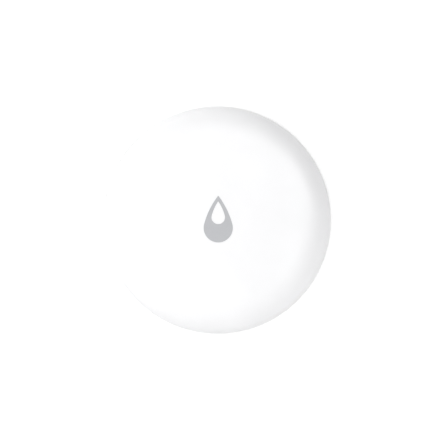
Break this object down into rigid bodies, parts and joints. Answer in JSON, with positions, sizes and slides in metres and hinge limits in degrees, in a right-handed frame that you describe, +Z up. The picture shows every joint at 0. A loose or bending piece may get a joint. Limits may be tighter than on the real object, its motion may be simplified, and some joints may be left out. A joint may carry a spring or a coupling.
{
  "type": "water leak sensor",
  "caption": "Low round white sensor with a domed push cap marked with a grey drop, probe screws under its base and a twist-off battery door.",
  "frame": {"origin": "on the floor, under the middle of the round body", "axes": "+Z up through the middle of the cap, +Y towards the tip of the drop, +X to its right seen from above"},
  "size_m": [0.05, 0.05, 0.015],
  "materials": {
    "white_shell": "fine satin moulding, white",
    "drop_grey": "smooth grey, lets a little light through",
    "clear_guide": "clear with a faint blue tint",
    "silicone": "milky silicone",
    "dark_seal": "dull black",
    "frame_plastic": "light grey moulding",
    "ring_plastic": "off-white moulding",
    "screw_steel": "zinc-plated steel",
    "probe_steel": "bright nickel-plated, turned",
    "cell_steel": "nickel-plated pressed steel",
    "cell_gasket": "dark grey nylon",
    "contact_gold": "gold-plated spring strip",
    "standoff_brass": "turned brass",
    "board_green": "green solder mask",
    "chip_black": "moulded black",
    "crystal_metal": "sealed metal lid",
    "antenna_body": "off-white fired block",
    "led_body": "pale yellow lens",
    "passive_body": "tan blocks",
    "switch_black": "moulded black",
    "switch_metal": "pressed stainless strip",
    "stem_plastic": "brown moulding"
  },
  "bodies": {
    "housing": {"seal_membrane": "silicone", "membrane_clamp_ring": "ring_plastic", "inner_frame": "frame_plastic", "frame_screws": "screw_steel", "main_seal": "dark_seal", "base_shell": "white_shell", "battery_can": "cell_steel", "battery_gasket": "cell_gasket", "battery_negative_lid": "cell_steel", "negative_contact": "contact_gold", "positive_contact": "contact_gold", "main_board": "board_green", "radio_chip": "chip_black", "clock_crystal": "crystal_metal", "chip_antenna": "antenna_body", "sense_chip": "chip_black", "status_led": "led_body", "board_passives": "passive_body", "switch_body": "switch_black", "switch_cover": "switch_metal", "switch_terminals": "switch_metal", "probe_screws": "probe_steel", "probe_standoffs": "standoff_brass", "probe_seals": "dark_seal"},
    "cap": {"press_cap": "white_shell", "drop_inlay": "drop_grey", "light_guide": "clear_guide"},
    "stem": {"switch_stem": "stem_plastic"},
    "door": {"battery_door": "white_shell", "door_seal": "dark_seal"}
  },
  "joints": [
    {"name": "cap_press", "type": "slide", "parent": "housing", "child": "cap", "axis": [0, 0, -1], "range_m": [0, 0.0003], "stiffness_N_per_m": 2000, "springref_m": -0.0004, "deforming": ["seal_membrane"]},
    {"name": "stem_press", "type": "slide", "parent": "housing", "child": "stem", "axis": [0, 0, -1], "range_m": [0, 0.0003]},
    {"name": "door_twist", "type": "hinge", "parent": "housing", "child": "door", "pos_m": [0, 0, 0.0007], "axis": [0, 0, -1], "range_deg": [0, 40]}
  ],
  "couplings": [
    {"joint": "stem_press", "follows": "cap_press", "ratio": 1}
  ]
}
